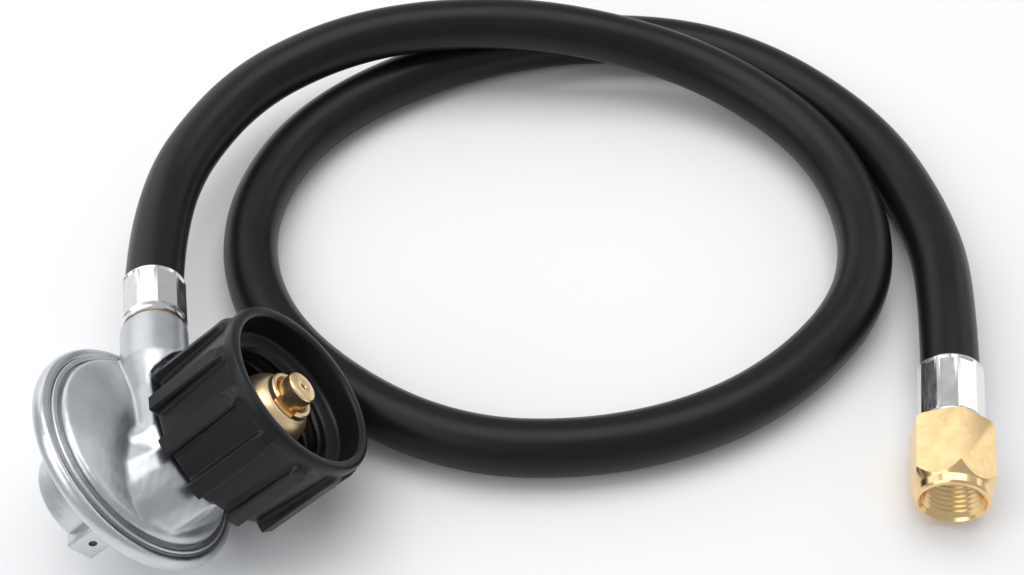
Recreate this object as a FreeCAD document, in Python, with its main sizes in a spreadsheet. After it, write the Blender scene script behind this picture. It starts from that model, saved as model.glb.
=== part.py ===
import FreeCAD, Part
import math
import os
import re
import Sketcher

# Low-pressure propane regulator with a tank coupling nut and a rubber hose that ends in a
# swivelling flare nut. The regulator leans on its rim and the hose lies in one and a half turns.
# X runs to the right across the coil, Y away from the free end, Z up. Lengths are in millimetres.
# The regulator's own pieces are measured along its axis, from the front face of its rim.

DIMENSIONS = {
    # how the regulator lies: the lean of its axis, in degrees, and the centre of its rim's face
    "lean": 53.0,
    "heading": 16.0,
    "outlet_turn": 9.0,
    "centre_x": -13.89,
    "centre_y": -11.61,
    "centre_up": 25.93,
    # rolled rim, casting and gas chamber
    "rim_radius": 30.0,
    "rim_depth": 4.2,
    "lip_radius": 27.4,
    "lip_thickness": 0.9,
    "flange_radius": 28.9,
    "flange_back": -2.2,
    "ring_radius": 26.9,
    "ring_front": 0.5,
    "dome_radius": 25.4,
    "dome_edge": 2.2,
    "dome_bulge": 69.0,
    "dome_top": 7.0,
    "chamber_radius": 18.0,
    "chamber_top": 3.0,
    "step_radius": 22.5,
    "step_top": 0.4,
    # bonnet with the spring tower and the vent boss
    "bonnet_seat": -3.2,
    "shoulder_back": -8.0,
    "tower_radius": 13.3,
    "tower_bore": 11.2,
    "tower_back": -21.8,
    "vent_width": 7.4,
    "vent_reach": 16.5,
    "vent_front": -12.0,
    "vent_middle": -17.0,
    "vent_hole": 1.0,
    "screen_radius": 2.2,
    # diaphragm, lever and seat
    "diaphragm_hole": 2.1,
    "diaphragm_top": -2.45,
    "plate_radius": 16.0,
    "plate_back": -4.2,
    "spring_radius": 7.5,
    "spring_wire": 0.7,
    "pivot_shift": 10.7,
    "pivot_height": -0.2,
    "pin_radius": 0.8,
    "lever_width": 5.0,
    "lever_thickness": 0.9,
    "ear_gap": 2.9,
    "ear_thickness": 0.8,
    "seat_radius": 3.2,
    "seat_bottom": 0.5,
    "seat_top": 3.4,
    "pad_top": 4.2,
    "nozzle_bottom": 4.55,
    "nozzle_seat": 6.0,
    # cast block with the inlet and outlet bosses
    "block_foot": 1.5,
    "block_top": 11.2,
    "block_slope": 20.0,
    "inlet_shift": 14.7,
    "boss_radius": 11.5,
    "boss_top": 11.3,
    "outlet_shift": -2.0,
    "outlet_height": 7.0,
    "outlet_radius": 8.4,
    "outlet_end": 34.4,
    "outlet_bore": 2.8,
    "stem_start": 22.0,
    # inlet nipple with its drilled nose
    "thread_radius": 6.8,
    "thread_back": 7.2,
    "neck_radius": 8.2,
    "collar_radius": 12.4,
    "collar_back": 20.7,
    "collar_front": 22.4,
    "shoulder_radius": 10.3,
    "nose_radius": 6.3,
    "nose_front": 35.2,
    "nipple_bore": 3.2,
    "limiter_radius": 5.2,
    "limiter_back": 24.0,
    "tip_radius": 4.2,
    "tip_front": 39.0,
    "tip_hole": 0.9,
    # coupling nut
    "nut_back": 11.8,
    "nut_wall": 2.8,
    "nut_play": 0.35,
    "nut_front": 38.8,
    "nut_radius": 23.0,
    "nut_waist": 21.4,
    "mouth_radius": 20.0,
    "mouth_depth": 7.0,
    "acme_radius": 16.65,
    "nut_bore": 15.0,
    "rib_radius": 24.0,
    "rib_width": 4.4,
    "rib_front": 36.2,
    "rib_slope": 2.6,
    "rib_turn": -6.5,
    # hose, crimped ferrules and the fitting at the free end, measured from that ferrule's mouth
    "hose_radius": 7.5,
    "hose_bore": 4.0,
    "ferrule_flat": 8.0,
    "ferrule_lip": 7.1,
    "ferrule_start": 35.2,
    "ferrule_end": 51.4,
    "hose_start": 36.6,
    "hose_end": 12.0,
    "barb_radius": 3.9,
    "stem_bore": 2.8,
    "free_x": 186.8,
    "free_y": 23.3,
    "free_up": 11.0,
    "free_heading": 9.2,
    "free_ferrule": 17.6,
    "swivel_back": 18.4,
    "swivel_front": 40.0,
    "swivel_flats": 19.05,
    "swivel_thread": 7.3,
    "thread_root": 26.8,
    "swivel_turn": 31.5,
}
FERRULE_FLATS = 10
RIB_COUNT = 12
SPRING_SPANS = 4

# Foot of the cast block, in the regulator's frame. Its long side follows the outlet, and its
# sides slope inwards to the bosses.
BLOCK_FOOT = [
    (-8.5, 16), (-9.5, 6), (-13.5, -6), (-11.5, -21), (-2, -25), (9, -22.5), (20, -13), (23.5, 2),
    (19, 14), (7, 21), (-4, 21.5),
]

# Centre line of the hose, from the outlet stem over its own second turn to the free end.
HOSE_ROUTE = [
    (-16.3, 25.3, 27.2),
    (-24.8, 70.8, 21.3),
    (-8.0, 114.5, 22.5),
    (20.0, 138.0, 22.5),
    (51.5, 146.0, 23.6),
    (88.0, 145.0, 23.6),
    (132.5, 139.0, 13.5),
    (168.5, 107.0, 8.6),
    (174.5, 57.5, 7.6),
    (143.0, 19.0, 7.6),
    (100.5, 1.5, 7.6),
    (53.5, 3.0, 7.6),
    (10.0, 35.5, 7.6),
    (-3.0, 77.0, 7.6),
    (12.5, 119.0, 7.6),
    (54.0, 148.0, 7.6),
    (101.5, 159.0, 7.6),
    (144.0, 151.0, 7.6),
    (179.0, 117.0, 7.6),
    (192.0, 76.5, 7.8),
    (190.1, 43.7, 11.0),
    (184.9, 11.5, 11.0),
]
ARC_SHARE = 0.45

doc = FreeCAD.newDocument("propane_regulator_hose")
sheet = doc.addObject("Spreadsheet::Sheet", "Dims")
WORD = re.compile(r"[a-z]\w+")


# --- the sheet, and places measured from it ---

def fill_sheet():
    """Write every driving dimension into the sheet, with its name as the cell's alias."""
    for row, (name, size) in enumerate(DIMENSIONS.items(), start=1):
        sheet.set(f"A{row}", name)
        sheet.set(f"B{row}", str(size))
        sheet.setAlias(f"B{row}", name)
    doc.recompute()


def cell(word):
    """A dimension's name pointed at its cell; any other word, such as a function's, as it is."""
    name = word.group()
    return f"Dims.{name}" if name in DIMENSIONS else name


def linked(formula):
    """A formula with each dimension's name pointed at its cell."""
    return WORD.sub(cell, str(formula))


def size(formula):
    """The present value of a formula of dimensions."""
    return float(sheet.evalExpression(linked(formula)))


def bind(item, settings):
    """Bind an object's properties to formulas of dimensions."""
    for name, formula in settings.items():
        item.setExpression(name, linked(formula))


def shifted(x=0, y=0, z=0):
    return FreeCAD.Placement(FreeCAD.Vector(size(x), size(y), size(z)), FreeCAD.Rotation())


def turned_about(x, y, z, degrees):
    return FreeCAD.Placement(FreeCAD.Vector(), FreeCAD.Rotation(FreeCAD.Vector(x, y, z), size(degrees)))


def regulator_frame():
    """Z along the regulator's axis towards the coupling nut, X down the slope of its rim."""
    centre = shifted("centre_x", "centre_y", "centre_up")
    return centre * turned_about(0, 0, 1, "heading") * turned_about(0, 1, 0, "lean")


def inlet_place():
    return shifted("inlet_shift")


def outlet_place():
    """Z along the outlet, away from the regulator's axis."""
    across = shifted("outlet_shift", 0, "outlet_height")
    return across * turned_about(0, 0, 1, "-outlet_turn") * turned_about(1, 0, 0, -90)


def free_frame():
    """Z along the free fitting, towards the swivel nut's mouth."""
    mouth = shifted("free_x", "free_y", "free_up")
    return mouth * turned_about(0, 0, 1, "-free_heading") * turned_about(1, 0, 0, 90)


# --- building blocks ---

def new_sketch(body, role, offset=0):
    """An empty sketch on one of the body's own origin planes."""
    sketch = body.newObject("Sketcher::SketchObject", "Outline")
    plane = next(item for item in body.Origin.OriginFeatures if item.Role == role)
    sketch.AttachmentSupport = [(plane, "")]
    sketch.MapMode = "FlatFace"
    bind(sketch, {"AttachmentOffset.Base.z": offset})
    return sketch


def bulge_middle(start, finish, radius):
    """Middle of the arc between two points. It bulges to the right of the way for a radius above 0."""
    chord = finish - start
    half = chord.Length / 2
    rise = abs(radius) - math.sqrt(radius * radius - half * half)
    side = FreeCAD.Vector(chord.y, -chord.x, 0).normalize()
    return (start + finish) * 0.5 + side * math.copysign(rise, radius)


def draw_outline(sketch, points):
    """Draw a closed outline whose corners are formulas. A third value starts an arc of that radius."""
    corners = [FreeCAD.Vector(size(point[0]), size(point[1]), 0) for point in points]
    ends = []
    for index, point in enumerate(points):
        start = corners[index]
        finish = corners[(index + 1) % len(points)]
        if len(point) == 3:
            edge = Part.Arc(start, bulge_middle(start, finish, size(point[2])), finish)
        else:
            edge = Part.LineSegment(start, finish)
        drawn = sketch.addGeometry(edge)
        forward = sketch.getPoint(drawn, 1).distanceToPoint(start) < 1e-6
        ends.append((drawn, 1, 2) if forward else (drawn, 2, 1))
    for index, (point, (edge, first, last)) in enumerate(zip(points, ends)):
        follower, follower_first, _ = ends[(index + 1) % len(points)]
        sketch.addConstraint(Sketcher.Constraint("Coincident", edge, last, follower, follower_first))
        across = sketch.addConstraint(Sketcher.Constraint("DistanceX", edge, first, size(point[0])))
        along = sketch.addConstraint(Sketcher.Constraint("DistanceY", edge, first, size(point[1])))
        bind(sketch, {f"Constraints[{across}]": point[0], f"Constraints[{along}]": point[1]})
        if len(point) == 3:
            reach = sketch.addConstraint(Sketcher.Constraint("Radius", edge, abs(size(point[2]))))
            bind(sketch, {f"Constraints[{reach}]": f"abs({point[2]})"})


def new_body(label):
    body = doc.addObject("PartDesign::Body", label)
    body.Label = label
    return body


def turned(label, outline):
    """A solid of revolution about Z, from an outline of radius and height."""
    body = new_body(label)
    sketch = new_sketch(body, "XZ_Plane")
    draw_outline(sketch, outline)
    turn = body.newObject("PartDesign::Revolution", "Turn")
    turn.Profile = sketch
    turn.ReferenceAxis = (sketch, ["V_Axis"])
    turn.Angle = 360
    return body


def ring(label, inner, outer, bottom, top):
    return turned(label, [(inner, bottom), (outer, bottom), (outer, top), (inner, top)])


def cylinder(radius, bottom, top, place=None):
    """A plain cylinder about Z between two heights, then moved by a placement."""
    item = doc.addObject("Part::Cylinder", "Cylinder")
    bind(item, {"Radius": radius, "Height": f"({top}) - ({bottom})"})
    item.Placement = (place or shifted()) * shifted(0, 0, bottom)
    return item


def box(low, high, place=None):
    """A box between two corners, then moved by a placement."""
    item = doc.addObject("Part::Box", "Box")
    spans = [f"({upper}) - ({lower})" for lower, upper in zip(low, high)]
    bind(item, dict(zip(("Length", "Width", "Height"), spans)))
    item.Placement = (place or shifted()) * shifted(*low)
    return item


def prism(corners, circumradius, bottom, top, turn=0):
    """A regular prism about Z between two heights."""
    item = doc.addObject("Part::Prism", "Prism")
    item.Polygon = corners
    bind(item, {"Circumradius": circumradius, "Height": f"({top}) - ({bottom})"})
    item.Placement = turned_about(0, 0, 1, turn) * shifted(0, 0, bottom)
    return item


def fused(label, items):
    item = doc.addObject("Part::MultiFuse", label)
    item.Shapes = items
    item.Label = label
    return item


def carved(label, base, tools):
    """The base with every tool cut out of it."""
    item = doc.addObject("Part::Cut", label)
    item.Base = base
    item.Tool = tools[0] if len(tools) == 1 else fused(label + "_tools", tools)
    item.Label = label
    return item


def coil(label, radius, wire, bottom, top, turns):
    """A compression spring about Z, its wire's centre running between two heights."""
    rise = size(top) - size(bottom)
    spans = turns * SPRING_SPANS
    edges = []
    for span in range(spans):
        edge = Part.makeHelix(rise / turns, rise / spans, size(radius)).Edges[0]
        turn = turned_about(0, 0, 1, span * 360 / SPRING_SPANS)
        edge.Placement = shifted(0, 0, span * rise / spans) * turn * edge.Placement
        edges.append(edge)
    section = Part.Wire(Part.makeCircle(size(wire), FreeCAD.Vector(size(radius), 0, 0), FreeCAD.Vector(0, 1, 0)))
    item = doc.addObject("Part::Feature", label)
    item.Shape = Part.Wire(edges).makePipeShell([section], True, True)
    item.Label = label
    item.Placement = shifted(0, 0, bottom)
    return item


def placed(item, frame):
    """Move a finished sub-part from its own frame into the model's."""
    item.Placement = frame * item.Placement
    return item


# --- regulator: casting and bonnet ---

def regulator_body():
    """Zinc casting: flange, stepped ring, dome, cast block and the two bosses, hollow behind."""
    dome = turned("dome", [
        (0, "chamber_top"),
        ("chamber_radius", "chamber_top"),
        ("chamber_radius", "step_top"),
        ("step_radius", "step_top"),
        ("step_radius", "flange_back"),
        ("flange_radius", "flange_back"),
        ("flange_radius", "-lip_thickness"),
        ("ring_radius", "-lip_thickness"),
        ("ring_radius", "ring_front"),
        ("ring_radius - 0.8", "ring_front"),
        ("ring_radius - 1.1", "ring_front - 0.7"),
        ("dome_radius + 0.3", "ring_front - 0.7"),
        ("dome_radius", "dome_edge - 0.6"),
        ("dome_radius - 0.7", "dome_edge", "dome_bulge"),
        (0, "dome_top"),
    ])
    block = new_body("block")
    foot = new_sketch(block, "XY_Plane", "block_foot")
    draw_outline(foot, BLOCK_FOOT)
    rise = block.newObject("PartDesign::Pad", "Rise")
    rise.Profile = foot
    bind(rise, {"Length": "block_top - block_foot", "TaperAngle": "-block_slope"})
    inlet = inlet_place()
    outlet = outlet_place()
    boss = cylinder("boss_radius", "block_foot", "boss_top", inlet)
    spout = carved("spout", cylinder("outlet_radius", 0, "outlet_end", outlet), [
        cylinder("rib_radius + 1", "nut_back - 0.8", "nut_front", inlet),
        cylinder("rim_radius + 0.4", "-rim_depth", 0.3),
    ])
    solid = fused("casting_blank", [dome, block, boss, spout])
    passage = outlet * shifted(0, 0, 12) * turned_about(1, 0, 0, 90)
    cuts = [
        cylinder("chamber_radius", "flange_back", "chamber_top"),
        cylinder("seat_radius + 0.3", "chamber_top - 1", "nozzle_seat", inlet),
        cylinder("seat_radius + 1", "nozzle_seat", "thread_back", inlet),
        cylinder("thread_radius", "thread_back", "boss_top + 1", inlet),
        cylinder("outlet_bore", 8, "stem_start + 1", outlet),
        cylinder("thread_radius - 0.9", "stem_start", "outlet_end + 1", outlet),
        cylinder("outlet_bore", "chamber_top - outlet_height - 1", 0, passage),
    ]
    cuts += [cylinder("pin_radius", "chamber_top - 1", "chamber_top + 2", place) for place in screw_places()]
    return placed(carved("regulator_body", solid, cuts), regulator_frame())


def bonnet():
    """Back cover: its rim is rolled over the casting's flange, and its tower holds the spring."""
    shell = turned("bonnet_shell", [
        ("lip_radius", "-lip_thickness"),
        ("lip_radius", 0),
        ("rim_radius - 1.2", 0, -1.2),
        ("rim_radius", -1.2),
        ("rim_radius", "1.4 - rim_depth", -1.4),
        ("rim_radius - 1.4", "-rim_depth"),
        ("rim_radius - 3.5", "-rim_depth - 0.2"),
        ("tower_radius + 1.5", "shoulder_back"),
        ("tower_radius", "shoulder_back - 1.5"),
        ("tower_radius", "tower_back + 0.8"),
        ("tower_radius - 0.8", "tower_back"),
        ("tower_bore", "tower_back"),
        ("tower_bore", "shoulder_back + 1.4"),
        ("step_radius - 0.5", "bonnet_seat - 1.2"),
        ("step_radius + 1.5", "bonnet_seat"),
        ("flange_radius + 0.2", "bonnet_seat"),
        ("flange_radius + 0.2", "-lip_thickness"),
    ])
    across = turned_about(0, 0, 1, "-outlet_turn")
    low = ("-vent_width / 2", "-vent_reach", "tower_back")
    high = ("vent_width / 2", "0.8 - tower_radius", "vent_front")
    solid = fused("bonnet_blank", [shell, box(low, high, across)])
    radial = across * shifted(0, 0, "vent_middle") * turned_about(1, 0, 0, 90)
    cuts = [
        cylinder("vent_hole", "tower_bore - 2", "vent_reach + 1", radial),
        cylinder("screen_radius", "tower_bore - 2", "tower_radius + 0.7", radial),
    ]
    return placed(carved("bonnet", solid, cuts), regulator_frame())


def vent_screen():
    """Fine screen at the bottom of the vent's inner bore."""
    radial = turned_about(0, 0, 1, "-outlet_turn") * shifted(0, 0, "vent_middle") * turned_about(1, 0, 0, 90)
    screen = ring("vent_screen", 0, "screen_radius - 0.05", "tower_radius", "tower_radius + 0.6")
    return placed(screen, regulator_frame() * radial)


def closing_cap():
    """Cap pressed into the tower's end."""
    cap = turned("closing_cap", [
        (0, "tower_back + 0.2"),
        ("tower_bore - 0.1", "tower_back + 0.2"),
        ("tower_bore - 0.1", "tower_back + 2"),
        ("tower_bore - 1.7", "tower_back + 2"),
        ("tower_bore - 1.7", "tower_back + 1.2"),
        (0, "tower_back + 1.2"),
    ])
    return placed(cap, regulator_frame())


# --- regulator: spring, diaphragm, lever and seat ---

def adjusting_screw():
    """Plug that sets the spring, turned with a hexagon key."""
    plug = cylinder("tower_bore - 0.35", "tower_back + 2.8", "tower_back + 5.2")
    key = prism(6, 3.5, "tower_back + 2", "tower_back + 6")
    return placed(carved("adjusting_screw", plug, [key]), regulator_frame())


def main_spring():
    turns = 5
    spring = coil("main_spring", "spring_radius", "spring_wire", "tower_back + 5.95", "plate_back - 0.75", turns)
    return placed(spring, regulator_frame())


def diaphragm():
    """Rubber disc clamped between the flange and the bonnet."""
    disc = turned("diaphragm", [
        ("diaphragm_hole", "bonnet_seat"),
        ("flange_radius", "bonnet_seat"),
        ("flange_radius", "flange_back"),
        ("step_radius + 0.5", "flange_back"),
        ("step_radius - 0.2", "diaphragm_top"),
        ("diaphragm_hole", "diaphragm_top"),
    ])
    return placed(disc, regulator_frame())


def diaphragm_plate():
    """Metal plate under the diaphragm, with a collar that centres the spring."""
    plate = turned("diaphragm_plate", [
        ("diaphragm_hole", "bonnet_seat - 0.05"),
        ("plate_radius - 1", "bonnet_seat - 0.05"),
        ("plate_radius", "bonnet_seat - 0.7"),
        ("plate_radius - 0.5", "plate_back"),
        ("spring_radius - 1.2", "plate_back"),
        ("spring_radius - 1.4", "plate_back - 1"),
        ("diaphragm_hole", "plate_back - 1"),
    ])
    return placed(plate, regulator_frame())


def diaphragm_stem():
    """Riveted stem whose groove carries the lever's fork."""
    stem = turned("diaphragm_stem", [
        (0, "plate_back - 2"),
        (3.4, "plate_back - 2"),
        (3.4, "plate_back - 1.05"),
        ("diaphragm_hole - 0.05", "plate_back - 1.05"),
        ("diaphragm_hole - 0.05", "diaphragm_top + 0.05"),
        (3.4, "diaphragm_top + 0.05"),
        (3.4, -1.3),
        (1.2, -1.3),
        (1.2, 0.5),
        (2.6, 0.5),
        (2.6, 1.5),
        (0, 1.5),
    ])
    return placed(stem, regulator_frame())


def pivot_place():
    """Z along the lever's pin."""
    return shifted("pivot_shift", 0, "pivot_height") * turned_about(1, 0, 0, 90)


def valve_lever():
    """Lever from the diaphragm stem to the seat, with a hub on its pin."""
    top = "pivot_height + lever_thickness / 2"
    bottom = "pivot_height - lever_thickness / 2"
    arm = box((-2.2, "-lever_width / 2", bottom), ("inlet_shift + 0.9", "lever_width / 2", top))
    hub = cylinder("pin_radius * 2", "-lever_width / 2", "lever_width / 2", pivot_place())
    fork = box((-3, -1.5, "pivot_height - 1"), (1.6, 1.5, "pivot_height + 1"))
    hole = cylinder("pin_radius + 0.05", "-lever_width", "lever_width", pivot_place())
    lever = carved("valve_lever", fused("lever_blank", [arm, hub]), [fork, hole])
    return placed(lever, regulator_frame())


def lever_pin():
    pin = ring("lever_pin", 0, "pin_radius", "-ear_gap - 1.2", "ear_gap + 1.2")
    return placed(pin, regulator_frame() * pivot_place())


def screw_places():
    return [shifted(5.2, side * 2.2) for side in (-1, 1)]


def lever_bracket():
    """Bent bracket that holds the lever's pin under the chamber's ceiling."""
    outer = "ear_gap + ear_thickness"
    plate_bottom = "chamber_top - ear_thickness"
    parts = [box((3.2, f"-({outer})", plate_bottom), (11, outer, "chamber_top"))]
    for near, far in (("ear_gap", outer), (f"-({outer})", "-ear_gap")):
        parts.append(box(("pivot_shift - 1.4", near, -1.6), ("pivot_shift + 1.4", far, "chamber_top")))
    cuts = [cylinder("pin_radius", -5, 5, pivot_place())]
    cuts += [cylinder("pin_radius", 0, 4, place) for place in screw_places()]
    bracket = carved("lever_bracket", fused("bracket_blank", parts), cuts)
    return placed(bracket, regulator_frame())


def bracket_screws():
    """Two screws from the bracket into the casting."""
    parts = []
    for place in screw_places():
        shank = cylinder("pin_radius", "chamber_top - 1", "chamber_top + 1.9", place)
        head = cylinder(1.5, "chamber_top - 1.6", "chamber_top - ear_thickness", place)
        parts += [shank, head]
    return placed(fused("bracket_screws", parts), regulator_frame())


def seat_holder():
    holder = turned("seat_holder", [
        (0, "seat_bottom"),
        (1.5, "seat_bottom"),
        (1.5, "seat_top - 1.5"),
        ("seat_radius", "seat_top - 1.5"),
        ("seat_radius", "seat_top"),
        (0, "seat_top"),
    ])
    return placed(holder, regulator_frame() * inlet_place())


def seat_pad():
    pad = ring("seat_pad", 0, "seat_radius - 0.6", "seat_top", "pad_top")
    return placed(pad, regulator_frame() * inlet_place())


def inlet_orifice():
    """Brass nozzle that the seat pad closes."""
    nozzle = turned("inlet_orifice", [
        (0.7, "nozzle_bottom"),
        (1.4, "nozzle_bottom"),
        (1.9, "nozzle_bottom + 0.5"),
        (1.9, "nozzle_seat"),
        ("seat_radius + 0.95", "nozzle_seat"),
        ("seat_radius + 0.95", "thread_back - 0.1"),
        (0.7, "thread_back - 0.1"),
    ])
    return placed(nozzle, regulator_frame() * inlet_place())


# --- inlet: nipple, flow limiter and coupling nut ---

def inlet_nipple():
    """Brass nipple: threaded end, neck, collar that keeps the nut on, and a rounded nose."""
    nipple = turned("inlet_nipple", [
        ("nipple_bore", "thread_back + 0.1"),
        ("thread_radius - 0.05", "thread_back + 0.1"),
        ("thread_radius - 0.05", "boss_top"),
        ("neck_radius", "boss_top"),
        ("neck_radius", "collar_back"),
        ("collar_radius", "collar_back"),
        ("collar_radius", "collar_front"),
        ("shoulder_radius", "collar_front"),
        ("shoulder_radius", "collar_front + 3.5"),
        ("nose_radius + 1", "nose_front - 3.4", 9),
        ("nose_radius", "nose_front - 3"),
        ("nose_radius", "nose_front - 0.5"),
        ("nose_radius - 0.5", "nose_front"),
        ("nose_radius - 0.7", "nose_front"),
        ("limiter_radius", "nose_front - 0.6"),
        ("limiter_radius", "limiter_back"),
        ("nipple_bore", "limiter_back"),
    ])
    return placed(nipple, regulator_frame() * inlet_place())


def nose_tip():
    """Drilled post pressed into the nipple's nose."""
    tip = turned("nose_tip", [
        (2.4, "nose_front - 3.7"),
        ("limiter_radius - 0.05", "nose_front - 3.7"),
        ("limiter_radius - 0.05", "nose_front - 0.6"),
        ("tip_radius", "nose_front - 0.3"),
        ("tip_radius", "tip_front - 0.7"),
        ("tip_radius - 0.7", "tip_front"),
        ("tip_hole", "tip_front"),
        ("tip_hole", "tip_front - 1.6"),
        (2.4, "tip_front - 1.6"),
    ])
    return placed(tip, regulator_frame() * inlet_place())


def inlet_filter():
    mesh = ring("inlet_filter", 0, "nipple_bore - 0.05", "boss_top - 3", "boss_top - 1")
    return placed(mesh, regulator_frame() * inlet_place())


def limiter_poppet():
    """Poppet that shuts the nipple's bore when the flow is too strong."""
    poppet = turned("limiter_poppet", [
        (0, "limiter_back + 0.6"),
        (1.5, "limiter_back + 0.6"),
        (1.5, "limiter_back + 3.2"),
        ("limiter_radius - 0.8", "limiter_back + 3.2"),
        ("limiter_radius - 0.8", "limiter_back + 4.4"),
        (0, "limiter_back + 4.4"),
    ])
    return placed(poppet, regulator_frame() * inlet_place())


def limiter_spring():
    turns = 3
    spring = coil("limiter_spring", 3.9, 0.3, "limiter_back + 0.35", "limiter_back + 2.85", turns)
    return placed(spring, regulator_frame() * inlet_place())


def thermal_bushing():
    """Plastic bushing behind the nipple's collar, which the nut's wall bears on."""
    bushing = ring("thermal_bushing", "neck_radius + 0.05", 13, "collar_back - 2.5", "collar_back - 0.05")
    return placed(bushing, regulator_frame() * inlet_place())


def nut_washer():
    """Washer inside the nut's back wall. It slides along the neck with the nut."""
    front = "nut_back + nut_wall + 1.05"
    washer = ring("nut_washer", "neck_radius + nut_play", 13.6, "nut_back + nut_wall + 0.05", front)
    return placed(washer, regulator_frame() * inlet_place())


def coupling_nut():
    """Plastic tank coupling nut: a smooth mouth, a threaded bore and long ribs for grip."""
    nut = turned("coupling_nut", [
        ("neck_radius + nut_play", "nut_back"),
        ("nut_waist - 1", "nut_back"),
        ("nut_waist", "nut_back + 1"),
        ("nut_radius - 0.3", "rib_front - 1.2"),
        ("nut_radius", "rib_front"),
        ("nut_radius", "nut_front - 0.8", -0.8),
        ("nut_radius - 0.8", "nut_front"),
        ("mouth_radius + 0.6", "nut_front"),
        ("mouth_radius", "nut_front - 0.6"),
        ("mouth_radius", "nut_front - mouth_depth"),
        ("acme_radius", "nut_front - mouth_depth - 1.5"),
        ("acme_radius", "collar_front - 3"),
        ("nut_bore", "collar_front - 4"),
        ("nut_bore", "nut_back + nut_wall"),
        ("neck_radius + nut_play", "nut_back + nut_wall"),
    ])
    sketch = new_sketch(nut, "XZ_Plane")
    root = "mouth_radius + 0.7"
    draw_outline(sketch, [
        (root, "nut_back + 0.2"),
        ("rib_radius - 0.7", "nut_back + 0.2"),
        ("rib_radius", "nut_back + 0.9"),
        ("rib_radius", "rib_front - rib_slope", -3.2),
        ("nut_radius - 0.4", "rib_front"),
        (root, "rib_front"),
    ])
    rib = nut.newObject("PartDesign::Pad", "Rib")
    rib.Profile = sketch
    rib.Midplane = True
    bind(rib, {"Length": "rib_width"})
    ribs = nut.newObject("PartDesign::PolarPattern", "Ribs")
    ribs.Originals = [rib]
    ribs.Axis = (sketch, ["V_Axis"])
    ribs.Occurrences = RIB_COUNT
    nut.Tip = ribs
    return placed(nut, regulator_frame() * inlet_place() * turned_about(0, 0, 1, "rib_turn"))


# --- hose, ferrules and the free fitting ---

def outlet_stem():
    """Brass stem screwed into the outlet boss, with a plain barb in the hose."""
    stem = turned("outlet_stem", [
        ("stem_bore", "stem_start + 0.2"),
        ("thread_radius - 0.95", "stem_start + 0.2"),
        ("thread_radius - 0.95", "outlet_end"),
        ("ferrule_lip - 0.1", "outlet_end"),
        ("ferrule_lip - 0.1", "hose_start - 0.05"),
        ("barb_radius", "hose_start - 0.05"),
        ("barb_radius", "ferrule_end - 3"),
        ("stem_bore", "ferrule_end - 1.5"),
    ])
    return placed(stem, regulator_frame() * outlet_place())


def ferrule(label, lip_side, bore, span, frame):
    """Crimped sleeve: flats outside, a lip at one end and the hose's bore from there on."""
    corner = f"ferrule_flat / cos(180 deg / {FERRULE_FLATS})"
    blank = prism(FERRULE_FLATS, corner, *span)
    lip = cylinder("ferrule_lip", *lip_side)
    return placed(carved(label, blank, [cylinder("hose_radius", *bore), lip]), frame)


def ferrule_regulator_end():
    lip_side = ("ferrule_start - 1", "ferrule_start + 2")
    bore = ("ferrule_start + 1", "ferrule_end + 1")
    span = ("ferrule_start", "ferrule_end")
    return ferrule("ferrule_regulator_end", lip_side, bore, span, regulator_frame() * outlet_place())


def ferrule_outlet_end():
    lip_side = ("free_ferrule - 2", "free_ferrule + 1")
    bore = (-1, "free_ferrule - 1")
    span = (0, "free_ferrule")
    return ferrule("ferrule_outlet_end", lip_side, bore, span, free_frame())


def stem_outlet_end():
    """Brass stem: barb in the hose, neck for the swivel nut, and a flared nose."""
    stem = turned("stem_outlet_end", [
        ("stem_bore", 2.5),
        ("barb_radius", 4),
        ("barb_radius", "hose_end + 0.05"),
        ("hose_radius - 0.1", "hose_end + 0.05"),
        ("hose_radius - 0.1", "free_ferrule - 1.1"),
        (5.3, "free_ferrule - 1.1"),
        (5.3, "swivel_back + 3.3"),
        (6.9, "swivel_back + 3.3"),
        (6.9, "swivel_back + 4.8"),
        (3.6, "swivel_back + 8.1"),
        ("stem_bore", "swivel_back + 8.1"),
    ])
    return placed(stem, free_frame())


def swivel_nut():
    """Hexagonal flare nut that turns on the stem's neck."""
    hexagon = prism(6, "swivel_flats / sqrt(3)", "swivel_back", "swivel_front", "swivel_turn")
    corner = "swivel_flats / sqrt(3)"
    envelope = turned("nut_envelope", [
        (0, "swivel_back"),
        (f"{corner} - 0.7", "swivel_back"),
        (f"{corner} + 0.1", "swivel_back + 0.8"),
        (f"{corner} + 0.1", "swivel_front - 6"),
        (9.3, "swivel_front - 2.4"),
        (9.1, "swivel_front - 0.4"),
        (8.7, "swivel_front"),
        (0, "swivel_front"),
    ])
    blank = doc.addObject("Part::Common", "nut_blank")
    blank.Base = hexagon
    blank.Tool = envelope
    chamfer = turned("nut_chamfer", [
        (0, "swivel_front - 0.8"),
        ("swivel_thread", "swivel_front - 0.8"),
        ("swivel_thread + 0.8", "swivel_front + 0.1"),
        (0, "swivel_front + 0.1"),
    ])
    cuts = [
        cylinder(5.6, "swivel_back - 1", "swivel_front"),
        cylinder("swivel_thread - 0.2", "swivel_back + 3", "thread_root + 0.1"),
        cylinder("swivel_thread", "thread_root", "swivel_front + 1"),
        chamfer,
    ]
    return placed(carved("swivel_nut", blank, cuts), free_frame())


def arc_radius(before, corner, after):
    """Largest radius that the two runs beside a corner of the route allow."""
    incoming = corner - before
    outgoing = after - corner
    turn = incoming.getAngle(outgoing)
    return ARC_SHARE * min(incoming.Length, outgoing.Length) / math.tan(turn / 2)


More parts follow.
